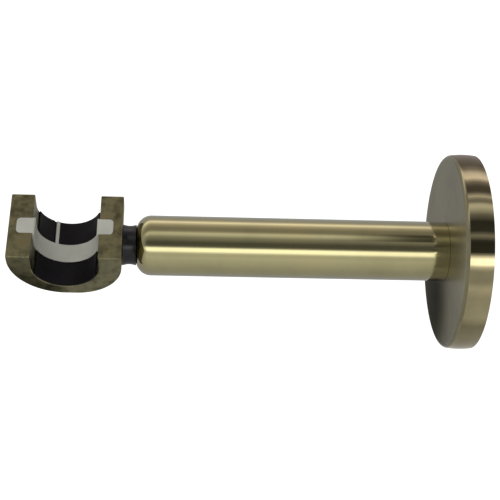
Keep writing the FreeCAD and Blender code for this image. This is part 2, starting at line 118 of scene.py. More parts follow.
barrel_light = softboxes("barrel_softboxes", [
    (-180, 0.55), (-141, 0.40), (-100, 0.38), (-66, 0.55), (-38, 0.66), (-15, 0.84), (0, 0.95), (10, 1.05),
    (20, 0.98), (27, 1.05), (33, 2.0), (36, 3.0), (45, 3.1), (48.5, 2.2), (51, 0.6), (57, 0.17), (70, 0.17),
    (80, 0.36), (90, 0.55), (99, 1.05), (106, 1.30), (112, 0.75), (118, 0.46), (130, 0.48), (143, 0.78),
    (152, 1.35), (159, 2.1), (165, 1.4), (172, 0.70), (180, 0.62)])
barrel_flag = softboxes("barrel_flag", [
    (-180, 1), (72, 1), (86, 1), (91, 0.1), (114, 0.1), (122, 0.9), (180, 1)])

# The rest goes by the light's direction. The barrel's flag hangs near the rose, the ends of the room are
# plainer than its sides, and it is a little warmer behind. Each pair is where a change starts and ends.
flag_from_x = (0.145, 0.195)
left_end_x = (-0.5, -0.9)
right_end_x = (0.27, 0.5)
right_end_share = 0.35
end_reach = 0.3
left_end_level = 0.60
right_end_level = 1.0
behind_from_y = (0.1, 0.6)
above_from_z = (-0.1, 0.2)
plain_light = (1, 1, 1, 1)
warm_light = (1, 0.92, 0.88, 1)
soft_level = 0.75
backdrop_level = 1.0

world = bpy.data.worlds.new("studio")
bpy.context.scene.world = world
world.use_nodes = True
tree = world.node_tree
tree.nodes.clear()
out = node_in(tree, "ShaderNodeOutputWorld")
shade = node_in(tree, "ShaderNodeBackground")
direction = node_in(tree, "ShaderNodeTexCoord")
parts = node_in(tree, "ShaderNodeSeparateXYZ")
bright = node_in(tree, "ShaderNodeGroup", node_tree=barrel_light)
flagged = node_in(tree, "ShaderNodeGroup", node_tree=barrel_flag)
near_rose = node_in(tree, "ShaderNodeMapRange", {"From Min": flag_from_x[0], "From Max": flag_from_x[1]})
flag_mix = node_in(tree, "ShaderNodeMix", {2: 1.0})
shaded = node_in(tree, "ShaderNodeMath", operation="MULTIPLY")
left_share = node_in(tree, "ShaderNodeMapRange", {"From Min": left_end_x[0], "From Max": left_end_x[1]})
right_share = node_in(tree, "ShaderNodeMapRange", {
    "From Min": right_end_x[0], "From Max": right_end_x[1], "To Max": right_end_share})
end_share = node_in(tree, "ShaderNodeMath", operation="ADD")
end_level = node_in(tree, "ShaderNodeMapRange", {
    "From Min": -end_reach, "From Max": end_reach, "To Min": left_end_level, "To Max": right_end_level})
with_ends = node_in(tree, "ShaderNodeMix")
behind = node_in(tree, "ShaderNodeMapRange", {"From Min": behind_from_y[0], "From Max": behind_from_y[1]})
above = node_in(tree, "ShaderNodeMapRange", {"From Min": above_from_z[0], "From Max": above_from_z[1]})
behind_above = node_in(tree, "ShaderNodeMath", operation="MULTIPLY")
warm_share = node_in(tree, "ShaderNodeMath", operation="MULTIPLY")
warmth = node_in(tree, "ShaderNodeMix", {6: plain_light, 7: warm_light}, data_type="RGBA")
path = node_in(tree, "ShaderNodeLightPath")
soft_or_mirror = node_in(tree, "ShaderNodeMix", {2: soft_level})
lit_or_seen = node_in(tree, "ShaderNodeMix", {3: backdrop_level})
link = tree.links.new
link(direction.outputs["Generated"], parts.inputs[0])
link(direction.outputs["Generated"], bright.inputs[0])
link(direction.outputs["Generated"], flagged.inputs[0])
link(parts.outputs["X"], near_rose.inputs["Value"])
link(parts.outputs["X"], left_share.inputs["Value"])
link(parts.outputs["X"], right_share.inputs["Value"])
link(near_rose.outputs[0], flag_mix.inputs[0])
link(flagged.outputs[0], flag_mix.inputs[3])
link(flag_mix.outputs[0], shaded.inputs[0])
link(bright.outputs[0], shaded.inputs[1])
link(left_share.outputs[0], end_share.inputs[0])
link(right_share.outputs[0], end_share.inputs[1])
link(end_share.outputs[0], with_ends.inputs[0])
link(shaded.outputs[0], with_ends.inputs[2])
link(parts.outputs["X"], end_level.inputs["Value"])
link(end_level.outputs[0], with_ends.inputs[3])
link(parts.outputs["Y"], behind.inputs["Value"])
link(parts.outputs["Z"], above.inputs["Value"])
link(behind.outputs[0], behind_above.inputs[0])
link(above.outputs[0], behind_above.inputs[1])
link(behind_above.outputs[0], warm_share.inputs[0])
link(path.outputs["Is Glossy Ray"], warm_share.inputs[1])
link(warm_share.outputs[0], warmth.inputs[0])
link(warmth.outputs[2], shade.inputs["Color"])
link(path.outputs["Is Glossy Ray"], soft_or_mirror.inputs[0])
link(with_ends.outputs[0], soft_or_mirror.inputs[3])
link(path.outputs["Is Camera Ray"], lit_or_seen.inputs[0])
link(soft_or_mirror.outputs[0], lit_or_seen.inputs[2])
link(lit_or_seen.outputs[0], shade.inputs["Strength"])
link(shade.outputs[0], out.inputs[0])


def card(name, points, faces, mirrored_only=True):
    """The node tree of a new stage piece, from points and faces.

    One that is mirrored only shows to glossy rays and no others. The others don't show to glossy rays.
    """
    mesh = bpy.data.meshes.new(name)
    mesh.from_pydata(points, [], faces)
    piece = bpy.data.objects.new(name, mesh)
    bpy.context.scene.collection.objects.link(piece)
    if mirrored_only:
        piece.visible_camera = False
        piece.visible_diffuse = False
        piece.visible_shadow = False
    else:
        piece.visible_glossy = False
    paint = bpy.data.materials.new(name)
    paint.use_nodes = True
    paint.node_tree.nodes.clear()
    mesh.materials.append(paint)
    return paint.node_tree


# The floor is painted off-white and has a little glow of its own to the camera. From below it is clear.
floor_drop = 160 * mm
floor_half = 3000 * mm
floor_paint = (0.86, 0.86, 0.85, 1)
floor_glow = 0.42
tree = card(
    "floor",
    [(x * floor_half, y * floor_half, -floor_drop) for x, y in ((-1, -1), (1, -1), (1, 1), (-1, 1))],
    [(0, 1, 2, 3)], mirrored_only=False)
out = node_in(tree, "ShaderNodeOutputMaterial")
paint = node_in(tree, "ShaderNodeBsdfDiffuse", {"Color": floor_paint})
glow = node_in(tree, "ShaderNodeEmission")
path = node_in(tree, "ShaderNodeLightPath")
glow_level = node_in(tree, "ShaderNodeMath", {1: floor_glow}, operation="MULTIPLY")
painted = node_in(tree, "ShaderNodeAddShader")
side = node_in(tree, "ShaderNodeNewGeometry")
from_below = node_in(tree, "ShaderNodeBsdfTransparent")
mixed = node_in(tree, "ShaderNodeMixShader")
link = tree.links.new
link(path.outputs["Is Camera Ray"], glow_level.inputs[0])
link(glow_level.outputs[0], glow.inputs["Strength"])
link(paint.outputs[0], painted.inputs[0])
link(glow.outputs[0], painted.inputs[1])
link(side.outputs["Backfacing"], mixed.inputs[0])
link(painted.outputs[0], mixed.inputs[1])
link(from_below.outputs[0], mixed.inputs[2])
link(mixed.outputs[0], out.inputs["Surface"])

# A drum stands round the rose, with softboxes of its own for the rim to mirror. They are a little
# redder behind than in front.
rim_radius = 41 * mm
drum_radius = 43.5 * mm
drum_start = -10.5 * mm
drum_end = 60 * mm
drum_sides = 48
tint_reach = 7.5 * mm
front_tint = (1, 0.95, 0.90, 1)
behind_tint = (1, 0.86, 0.86, 1)


def place_on_drum(light_angle, rounds=12):
    """Where on the drum the photograph's side sees light from that angle, mirrored in the rim.

    The rim's normal halves the angle between the light and the viewer, which a few rounds settle. The
    light leaves the rim along a straight line, which meets the drum a little further round.
    """
    light = math.radians(light_angle)
    normal = 0.5 * light
    for _ in range(rounds):
        viewer = math.atan2(camera_place.z - rim_radius * math.sin(normal),
                            -camera_place.y - rim_radius * math.cos(normal))
        normal = 0.5 * (light + viewer)
    return math.degrees(light - math.asin(rim_radius / drum_radius * math.sin(light - normal)))


rim_bands = [
    (-60, 0.6), (-42, 0.50), (-28, 0.95), (-15, 0.95), (0, 0.82), (12, 1.15), (20, 0.72), (34, 0.75),
    (38, 1.7), (40, 4.2), (47, 4.6), (50, 1.7), (53, 0.07), (68, 0.06), (74, 0.55), (79, 0.09), (91, 0.07),
    (99, 0.36), (106, 1.05), (111, 1.5), (115, 0.55), (119, 0.45), (123, 1.25), (127, 0.4), (131, 0.18),
    (138, 0.2), (145, 0.62), (152, 2.2), (159, 1.7), (168, 0.55), (178, 0.30), (200, 0.38)]
rim_light = softboxes("rim_softboxes", [(place_on_drum(angle), level) for angle, level in rim_bands])
drum_turn = [math.radians(360 * step / drum_sides) for step in range(drum_sides)]
drum_next = [(step + 1) % drum_sides for step in range(drum_sides)]
tree = card(
    "rim_drum",
    [(x, drum_radius * math.cos(turn), drum_radius * math.sin(turn))
     for x in (drum_start, drum_end) for turn in drum_turn],
    [(step, after, drum_sides + after, drum_sides + step) for step, after in enumerate(drum_next)])
out = node_in(tree, "ShaderNodeOutputMaterial")
shade = node_in(tree, "ShaderNodeEmission")
where = node_in(tree, "ShaderNodeTexCoord")
parts = node_in(tree, "ShaderNodeSeparateXYZ")
bright = node_in(tree, "ShaderNodeGroup", node_tree=rim_light)
behind = node_in(tree, "ShaderNodeMapRange", {"From Min": -tint_reach, "From Max": tint_reach})
tint = node_in(tree, "ShaderNodeMix", {6: front_tint, 7: behind_tint}, data_type="RGBA")
link = tree.links.new
link(where.outputs["Object"], parts.inputs[0])
link(where.outputs["Object"], bright.inputs[0])
link(parts.outputs["Y"], behind.inputs["Value"])
link(behind.outputs[0], tint.inputs[0])
link(tint.outputs[2], shade.inputs["Color"])
link(bright.outputs[0], shade.inputs["Strength"])
link(shade.outputs[0], out.inputs["Surface"])


def flag(name, level, corners, fade_from=None, fade=None):
    """A one-sided card that sends out a level of light and is clear from its back, with corners in mm.

    Where fade_from gives a point in mm, the card fades out between the two distances of fade from it.
    """
    tree = card(name, [[size * mm for size in corner] for corner in corners], [(0, 1, 2, 3)])
    out = node_in(tree, "ShaderNodeOutputMaterial")
    shade = node_in(tree, "ShaderNodeEmission", {"Strength": level})
    clear = node_in(tree, "ShaderNodeBsdfTransparent")
    side = node_in(tree, "ShaderNodeNewGeometry")
    mixed = node_in(tree, "ShaderNodeMixShader")
    link = tree.links.new
    clear_share = side.outputs["Backfacing"]
    if fade_from:
        away = node_in(tree, "ShaderNodeVectorMath", {1: [size * mm for size in fade_from]},
                       operation="DISTANCE")
        faded = node_in(tree, "ShaderNodeMapRange", {"From Min": fade[0] * mm, "From Max": fade[1] * mm},
                        interpolation_type="SMOOTHSTEP")
        gone = node_in(tree, "ShaderNodeMath", operation="MAXIMUM")
        link(side.outputs["Position"], away.inputs[0])
        link(away.outputs["Value"], faded.inputs["Value"])
        link(faded.outputs[0], gone.inputs[0])
        link(clear_share, gone.inputs[1])
        clear_share = gone.outputs[0]
    link(clear_share, mixed.inputs[0])
    link(shade.outputs[0], mixed.inputs[1])
    link(clear.outputs[0], mixed.inputs[2])
    link(mixed.outputs[0], out.inputs["Surface"])


# Three flags: a dark one that the rose's face mirrors below the barrel, a pale one that it mirrors beside
# the barrel, and a dark one under the cup's front.
flag("rose_flag", 0.03, [(-16, -30, -85), (-16, 44, -85), (-16, 44, -11), (-16, -30, -11)],
     fade_from=(-16, 4, -44), fade=(16, 38))
flag("mouth_flag", 0.55, [(-20, -3, 13.7), (-20, -60, 150), (-20, -130, -12), (-20, -14, -1)])
flag("cup_flag", 0.06, [(-206, -36, -18), (-172, -36, -28), (-172, -14, -28), (-206, -14, -18)])

# The lamp hangs in front of the bracket and above it. It isn't mirrored.
key_aim = Vector((-0.09, 0, 0))
key_data = bpy.data.lights.new("key", "AREA")
key_data.shape = "RECTANGLE"
key_data.size = 1.2
key_data.size_y = 0.8
key_data.energy = 6.0
key = bpy.data.objects.new("key", key_data)
key.location = (-0.5, -0.7, 1.1)
key.rotation_euler = (key_aim - key.location).to_track_quat("-Z", "Y").to_euler()
key.visible_glossy = False
bpy.context.scene.collection.objects.link(key)


# Wall plate, washers and threaded plugs. Steel pressings and turned slugs in bright zinc plate, hidden
# behind the rose and inside the barrel. Their CAD meshes are kept and only get their plating.
def speckle_group():
    """Object position to a soft cloud and a fine grain: two noises, the second stretched by Stretch."""
    group = bpy.data.node_groups.new("speckle", "ShaderNodeTree")
    for name, kind in (("Vector", "NodeSocketVector"), ("Cloud Scale", "NodeSocketFloat"),
                       ("Stretch", "NodeSocketVector")):
        group.interface.new_socket(name, in_out="INPUT", socket_type=kind)
    for name in ("Cloud", "Grain"):
        group.interface.new_socket(name, in_out="OUTPUT", socket_type="NodeSocketFloat")
    given = group.nodes.new("NodeGroupInput")
    result = group.nodes.new("NodeGroupOutput")
    cloud = node_in(group, "ShaderNodeTexNoise", {"Detail": 4.0, "Roughness": 0.6})
    stretched = node_in(group, "ShaderNodeVectorMath", operation="MULTIPLY")
    grain = node_in(group, "ShaderNodeTexNoise", {"Scale": 1.0, "Detail": 3.0, "Roughness": 0.55})
    link = group.links.new
    link(given.outputs["Vector"], cloud.inputs["Vector"])
    link(given.outputs["Cloud Scale"], cloud.inputs["Scale"])
    link(given.outputs["Vector"], stretched.inputs[0])
    link(given.outputs["Stretch"], stretched.inputs[1])
    link(stretched.outputs[0], grain.inputs["Vector"])
    link(cloud.outputs["Fac"], result.inputs["Cloud"])
    link(grain.outputs["Fac"], result.inputs["Grain"])
    return group


speckle = speckle_group()
lacquer_roughness = 0.06


def finish_with(name, shades, metallic, cloud_scale, stretch=None, roughness=None, bump=None,
                specular=0.5, lacquer=0.0):
    """A finish whose colour follows the speckle's cloud: shades gives colours by their place in it.

    With a stretch, its roughness and bump follow the grain. roughness gives its least and most, and bump
    its strength and its depth in metres.
    """
    material = bpy.data.materials.new(name)
    material.use_nodes = True
    tree = material.node_tree
    shader = tree.nodes["Principled BSDF"]
    shader.inputs["Metallic"].default_value = metallic
    shader.inputs["Specular IOR Level"].default_value = specular
    shader.inputs["Coat Weight"].default_value = lacquer
    shader.inputs["Coat Roughness"].default_value = lacquer_roughness
    where = node_in(tree, "ShaderNodeTexCoord")
    marks = node_in(tree, "ShaderNodeGroup", {"Cloud Scale": cloud_scale}, node_tree=speckle)
    tint = node_in(tree, "ShaderNodeValToRGB")
    while len(tint.color_ramp.elements) < len(shades):
        tint.color_ramp.elements.new(0.5)
    for element, (position, color) in zip(tint.color_ramp.elements, shades):
        element.position = position
        element.color = (*color, 1)
    link = tree.links.new
    link(where.outputs["Object"], marks.inputs["Vector"])
    link(marks.outputs["Cloud"], tint.inputs["Fac"])
    link(tint.outputs["Color"], shader.inputs["Base Color"])
    if stretch:
        marks.inputs["Stretch"].default_value = stretch
        dull = node_in(tree, "ShaderNodeMapRange", {"To Min": roughness[0], "To Max": roughness[1]})
        height = node_in(tree, "ShaderNodeBump", {"Strength": bump[0], "Distance": bump[1]})
        link(marks.outputs["Grain"], dull.inputs["Value"])
        link(dull.outputs[0], shader.inputs["Roughness"])
        link(marks.outputs["Grain"], height.inputs["Height"])
        link(height.outputs["Normal"], shader.inputs["Normal"])
    return material


def keep_cad(name, material):
    """Gives a CAD node's own mesh its finish."""
    mesh = nodes[name].data
    mesh.materials.clear()
    mesh.materials.append(material)


zinc = finish_with(
    "zinc_plate", [(0.3, (0.44, 0.45, 0.47)), (0.55, (0.49, 0.50, 0.52)), (0.75, (0.53, 0.53, 0.52))],
    roughness=(0.22, 0.42), metallic=1.0, cloud_scale=90.0, stretch=(900.0, 900.0, 900.0),
    bump=(0.15, 0.02 * mm))
for name in ("wall_plate", "plain_washer", "spring_washer", "barrel_rear_plug", "barrel_front_plug"):
    keep_cad(name, zinc)


# Bolt and stud. The hexagon bolt pulls the barrel against the rose, and the stud joins the barrel to the
# cup. Both are rolled steel with a fine thread, so each is one skin with a helical ridge round its shank.
rows_per_pitch = 8
around = 96
ridge_depth = 0.6
sharp_angle = math.radians(38)


def skin(name, grid, material, loop=False, caps=True):
    """An object from a grid of points in mm: rows follow the outline, columns go round and join up.

    loop joins the last row to the first. Otherwise the first and last rows are closed by flat caps.
    """
    rows, columns = grid.shape[:2]
    number = np.arange(rows * columns).reshape(rows, columns)
    below = np.roll(number, -1, axis=0) if loop else number[1:]
    above = number if loop else number[:-1]
    quads = np.stack([above, np.roll(above, -1, axis=1), np.roll(below, -1, axis=1), below], axis=-1)
    faces = quads.reshape(-1, 4).tolist()
    if not loop and caps:
        faces += [number[0, ::-1].tolist(), number[-1].tolist()]
    mesh = bpy.data.meshes.new(name)
    mesh.from_pydata((grid.reshape(-1, 3) * mm).tolist(), [], faces)
    shell = bmesh.new()
    shell.from_mesh(mesh)
    bmesh.ops.recalc_face_normals(shell, faces=shell.faces)
    shell.to_mesh(mesh)
    shell.free()
    mesh.shade_smooth()
    mesh.set_sharp_from_angle(angle=sharp_angle)
    mesh.materials.append(material)
    piece = bpy.data.objects.new(name, mesh)
    bpy.context.scene.collection.objects.link(piece)
    return piece


def stands_for(piece, node):
    """The piece rides on the one body and takes the place of a CAD node."""
    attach(piece, "root")
    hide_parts(node)


def turned_grid(x, radius, turns=around):
    """Points of a surface turned about the barrel's axis: (x, r cos a, r sin a). radius may vary with a."""
    turn = np.linspace(0, 2 * np.pi, turns, endpoint=False)
    x = np.broadcast_to(np.asarray(x, float).reshape(len(x), -1), (len(x), turns))
    radius = np.broadcast_to(np.asarray(radius, float).reshape(len(radius), -1), (len(radius), turns))
    return np.stack([x, radius * np.cos(turn), radius * np.sin(turn)], axis=-1)


def thread_rows(start, end, crest, pitch, lead):
    """Rows of a threaded shank from start to end: the crest less a triangle wave of x / pitch - a / 2 pi.

    The ridge is ridge_depth of the pitch deep and fades to a cone over the lead at the far end.
    """
    count = int(abs(end - start) / pitch * rows_per_pitch)
    x = np.linspace(start, end, count)
    turn = np.linspace(0, 1, around, endpoint=False)
    wave = np.abs(((x[:, None] / pitch - turn) % 1) * 2 - 1)
    radius = crest - ridge_depth * pitch * wave
    cone = crest - np.clip(lead - np.abs(end - x), 0, None)[:, None]
    return x, np.minimum(radius, cone)


def hexagon(across):
    """A hexagon's radius by angle: half its width across flats over cos((a + 30) mod 60 - 30)."""
    turn = np.linspace(0, 360, around, endpoint=False)
    return across / 2 / np.cos(np.radians((turn + 30) % 60 - 30))


bolt_low, bolt_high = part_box("barrel_bolt")
bolt_flats = 10.0
bolt_head = 4.0
bolt_crest = 3.0
bolt_pitch = 1.0
bolt_lead = 1.0
bolt_neck = 0.8
head_fillet = 0.5
head_bevel = 0.15
bevel_share = 0.98
crown_share = 0.47
crown_slope = math.tan(math.radians(30))
head_back = bolt_high.x / mm
head_front = head_back - bolt_head
crown = crown_share * bolt_flats
corner = hexagon(bolt_flats)
thread_x, thread_r = thread_rows(head_front - bolt_neck, bolt_low.x / mm, bolt_crest, bolt_pitch, bolt_lead)
bolt_x = np.vstack([
    np.full((1, around), head_back),
    head_back - (corner - crown)[None] * crown_slope,
    np.full((1, around), head_front + head_bevel),
    np.full((3, around), head_front),
    np.repeat(thread_x[:, None], around, axis=1),
])
bolt_r = np.vstack([
    np.full((1, around), crown), corner[None], corner[None], bevel_share * corner[None],
    np.full((1, around), bolt_crest + head_fillet), np.full((1, around), bolt_crest), thread_r,
])
steel = finish_with(
    "bolt_steel", [(0.3, (0.46, 0.47, 0.50)), (0.7, (0.60, 0.61, 0.63))],
    roughness=(0.25, 0.4), metallic=1.0, cloud_scale=150.0, stretch=(1200.0, 1200.0, 1200.0),
    bump=(0.1, 0.02 * mm))
bolt = skin("fixing_bolt", turned_grid(bolt_x, bolt_r), steel)
stands_for(bolt, "barrel_bolt")

stud_low, stud_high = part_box("neck_stud")
stud_pitch = 1.25
stud_lead = 0.9
stud_gap = 0.2
stud_crest = stud_high.z / mm
stud_middle = (stud_low.x + stud_high.x) / 2 / mm
rear_x, rear_r = thread_rows(stud_middle, stud_high.x / mm, stud_crest, stud_pitch, stud_lead)
front_x, front_r = thread_rows(stud_middle - stud_gap, stud_low.x / mm, stud_crest, stud_pitch, stud_lead)
stud = skin(
    "cup_stud",
    turned_grid(np.concatenate([rear_x[::-1], front_x]), np.vstack([rear_r[::-1], front_r])),
    steel)
stands_for(stud, "neck_stud")


# Rose. A hollow cast cover, turned and lacquered in antique brass: a satin face with fine turning marks,
# a soft shoulder, and a polished rim. Its grub screw, in black oxide, goes up through the underside.
def ring_marks_group():
    """Fine turning marks: a noise that depends only on the distance from the barrel's axis."""
    group = bpy.data.node_groups.new("turning_marks", "ShaderNodeTree")
    group.interface.new_socket("Vector", in_out="INPUT", socket_type="NodeSocketVector")
    group.interface.new_socket("Fineness", in_out="INPUT", socket_type="NodeSocketFloat")
    for name in ("Radius", "Marks"):
        group.interface.new_socket(name, in_out="OUTPUT", socket_type="NodeSocketFloat")
    given = group.nodes.new("NodeGroupInput")
    result = group.nodes.new("NodeGroupOutput")
    flat = node_in(group, "ShaderNodeVectorMath", {1: (0, 1, 1)}, operation="MULTIPLY")
    radius = node_in(group, "ShaderNodeVectorMath", operation="LENGTH")
    count = node_in(group, "ShaderNodeMath", operation="MULTIPLY")
    marks = node_in(group, "ShaderNodeTexNoise", {"Scale": 1.0, "Detail": 2.0}, noise_dimensions="1D")
    link = group.links.new
    link(given.outputs["Vector"], flat.inputs[0])
    link(flat.outputs[0], radius.inputs[0])
    link(radius.outputs["Value"], count.inputs[0])
    link(given.outputs["Fineness"], count.inputs[1])
    link(count.outputs[0], marks.inputs["W"])
    link(radius.outputs["Value"], result.inputs["Radius"])
    link(marks.outputs["Fac"], result.inputs["Marks"])
    return group


turning_marks = ring_marks_group()
face_radius = 38.9 * mm
face_end = face_radius - 0.4 * mm
rim_start = face_radius + 1.2 * mm
face_dullness = 0.28
rim_dullness = 0.045
mark_fineness = 2500.0
mark_dullness = 0.05
mark_strength = 0.25
mark_depth = 0.02 * mm
rose_brass = finish_with(
    "rose_brass", [(0.32, (0.23, 0.21, 0.125)), (0.52, (0.28, 0.255, 0.155)), (0.72, (0.30, 0.26, 0.15))],
    metallic=1.0, cloud_scale=45.0)
tree = rose_brass.node_tree
shader = tree.nodes["Principled BSDF"]
where = node_in(tree, "ShaderNodeTexCoord")
rings = node_in(tree, "ShaderNodeGroup", {"Fineness": mark_fineness}, node_tree=turning_marks)
edge = node_in(tree, "ShaderNodeMapRange", {
    "From Min": face_end, "From Max": rim_start, "To Min": face_dullness, "To Max": rim_dullness})
scatter = node_in(tree, "ShaderNodeMath", {1: mark_dullness}, operation="MULTIPLY_ADD")
ring_bump = node_in(tree, "ShaderNodeBump", {"Strength": mark_strength, "Distance": mark_depth})
link = tree.links.new
link(where.outputs["Object"], rings.inputs["Vector"])
link(rings.outputs["Radius"], edge.inputs["Value"])
link(rings.outputs["Marks"], scatter.inputs[0])
link(edge.outputs[0], scatter.inputs[2])
link(scatter.outputs[0], shader.inputs["Roughness"])
link(rings.outputs["Marks"], ring_bump.inputs["Height"])
link(ring_bump.outputs["Normal"], shader.inputs["Normal"])
keep_cad("rose", rose_brass)

oxide = finish_with(
    "black_oxide", [(0.3, (0.02, 0.02, 0.023)), (0.7, (0.045, 0.045, 0.05))],
    roughness=(0.35, 0.5), metallic=0.6, cloud_scale=300.0, stretch=(2000.0, 2000.0, 2000.0),
    bump=(0.1, 0.01 * mm))
keep_cad("rose_grub_screw", oxide)


# Barrel. A drawn brass-plated tube, spun closed and rounded at the front, polished and lacquered. Faint
# drawing lines run along it. Its open end stands on the rose.
def rounded_outline(corners, radii, arc_steps=8, hold=0.15):
    """A closed outline in mm: each corner becomes an arc that touches both its sides.

    The arc's centre is its radius over the sine of half the opening away, along the line that halves the
    corner. A point is held on the straight at each end of the arc.
    """
    corners = np.asarray(corners, float)
    points = []
    for index, corner in enumerate(corners):
        back = corners[index - 1] - corner
        ahead = corners[(index + 1) % len(corners)] - corner
        back /= np.linalg.norm(back)
        ahead /= np.linalg.norm(ahead)
        opening = math.acos(np.clip(back @ ahead, -1, 1))
        reach = radii[index] / math.tan(opening / 2)
        halfway = (back + ahead) / np.linalg.norm(back + ahead)
        centre = corner + halfway * radii[index] / math.sin(opening / 2)
        first = corner + back * reach - centre
        last = corner + ahead * reach - centre
        sweep = math.pi - opening
        steps = np.linspace(0, 1, arc_steps + 1)[:, None]
        arc = centre + (np.sin((1 - steps) * sweep) * first + np.sin(steps * sweep) * last) / math.sin(sweep)
        points += [corner + back * (reach + hold), *arc, corner + ahead * (reach + hold)]
    return np.array(points)


barrel_low, barrel_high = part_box("barrel")
barrel_radius = barrel_high.z / mm
barrel_front = barrel_low.x / mm
barrel_back = barrel_high.x / mm
tube_wall = 1.25
end_wall = 1.6
front_round = 6.2
edge_break = 0.12
hole_break = 0.3
stud_hole = 4.2
barrel_line = rounded_outline(
    [(barrel_back, barrel_radius), (barrel_front, barrel_radius), (barrel_front, stud_hole),
     (barrel_front + end_wall, stud_hole), (barrel_front + end_wall, barrel_radius - tube_wall),
     (barrel_back, barrel_radius - tube_wall)],
    [edge_break, front_round, hole_break, hole_break, front_round - tube_wall, edge_break], arc_steps=20)
tube_brass = finish_with(
    "tube_brass", [(0.30, (0.28, 0.25, 0.115)), (0.52, (0.325, 0.295, 0.14)), (0.74, (0.345, 0.30, 0.135))],
    roughness=(0.07, 0.13), metallic=1.0, cloud_scale=35.0, stretch=(12.0, 1500.0, 1500.0),
    bump=(0.05, 0.01 * mm), lacquer=1.0)
tube = turned_grid(barrel_line[:, 0], barrel_line[:, 1], turns=192)
barrel = skin("barrel_tube", tube, tube_brass, loop=True)
stands_for(barrel, "barrel")


# Neck collar. A black moulded spacer with a shallow waist, held between the barrel and the cup by the
# stud. It flares a little at both ends.
collar_low, collar_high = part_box("neck_collar")
collar_start = collar_high.x / mm
collar_end = collar_low.x / mm
collar_edge = collar_high.z / mm
collar_waist = 8.0
collar_bore = 4.1
collar_break = 0.12
bore_break = 0.4
along = np.linspace(-1, 1, 41)
waist_line = collar_waist + (collar_edge - collar_waist) * along ** 2
side_x = (collar_start + collar_end) / 2 - along * (collar_start - collar_end) / 2
collar_x = np.concatenate([
    [collar_start, collar_start], side_x[1:-1], [collar_end, collar_end, collar_end, collar_start]])
collar_r = np.concatenate([
    [collar_bore + bore_break, waist_line[0] - collar_break], waist_line[1:-1],
    [waist_line[-1] - collar_break, collar_bore + bore_break, collar_bore, collar_bore]])
black = finish_with(
    "black_moulding", [(0.3, (0.004, 0.0037, 0.0045)), (0.7, (0.008, 0.0072, 0.009))],
    roughness=(0.18, 0.28), metallic=0.0, cloud_scale=200.0, stretch=(2500.0, 2500.0, 2500.0),
    bump=(0.2, 0.01 * mm), specular=0.28)
collar = skin("neck_spacer", turned_grid(collar_x, collar_r, turns=128), black, loop=True)
stands_for(collar, "neck_collar")


# Cup. A cast cradle in satin antique brass: a rounded underside, fuller towards the neck, two arms with
# flat tops, a round boss for the stud, and a shallow seat in each arm for an ear of the strap.
cup_low, cup_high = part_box("cup_body")
cup_left = cup_low.x / mm
cup_right = cup_high.x / mm
cup_top = cup_high.z / mm
cup_half = cup_high.y / mm
cup_radius = (cup_right - cup_left) / 2
heel_radius = 19.0
bore_shift = 0.1
bore_middle = (cup_left + cup_right) / 2 + bore_shift
bore_radius = 13.5
bore_height = 5.5
edge_round = 0.5
top_round = 0.35
boss_radius = 8.5
boss_edge = np.array([(0.35, 0), (0.25, 0), (0.07, 0.07), (0, 0.25), (0, 0.4)])
arm_skin = 0.2
stud_room = 0.3
seat_clearance = 0.03


def hanging_curve(left, right, left_round, right_round, bottom, top, turns=120, side_steps=5):
    """A U from its left top, down a straight side, round two quarter circles, and up to its right top.

    The lower part between the straight sides is stepped evenly along its length.
    """
    sweep = np.linspace(0, np.pi / 2, 200)
    left_arc = np.column_stack([
        left + left_round * (1 - np.cos(sweep)), bottom + left_round * (1 - np.sin(sweep))])
    right_arc = np.column_stack([
        right - right_round * (1 - np.sin(sweep)), bottom + right_round * (1 - np.cos(sweep))])
    under = np.vstack([left_arc, right_arc])
    along = np.concatenate([[0], np.cumsum(np.linalg.norm(np.diff(under, axis=0), axis=1))])
    even = np.linspace(0, along[-1], turns)
    under = np.column_stack([np.interp(even, along, under[:, 0]), np.interp(even, along, under[:, 1])])
    drop = np.linspace(top, bottom + left_round, side_steps + 1)[:-1]
    rise = np.linspace(bottom + right_round, top, side_steps + 1)[1:]
    left_side = np.column_stack([np.full(side_steps, left), drop])
    right_side = np.column_stack([np.full(side_steps, right), rise])
    return np.vstack([left_side, under, right_side])


def rounded_section(round_off, steps=5, hold=0.12):
    """A rectangle's outline as shares of its two sides plus offsets in mm, with rounded corners.

    Returns rows of (share across, offset across, share along, offset along), where shares are 0 or 1.
    """
    turn = np.linspace(0, np.pi / 2, steps)
    inner = round_off * (1 - np.sin(turn))
    outer = round_off * (1 - np.cos(turn))
    corner_rows = np.vstack([
        [0, round_off + hold, 0, 0],
        np.stack([np.zeros(steps), inner, np.zeros(steps), outer], axis=-1),
        [0, 0, 0, round_off + hold],
    ])
    flip_across = corner_rows * [1, -1, 1, 1] + [1, 0, 0, 0]
    flip_along = corner_rows * [1, 1, 1, -1] + [0, 0, 1, 0]
    flip_both = corner_rows * [1, -1, 1, -1] + [1, 0, 1, 0]
    return np.vstack([corner_rows, flip_along[::-1], flip_both, flip_across[::-1]])


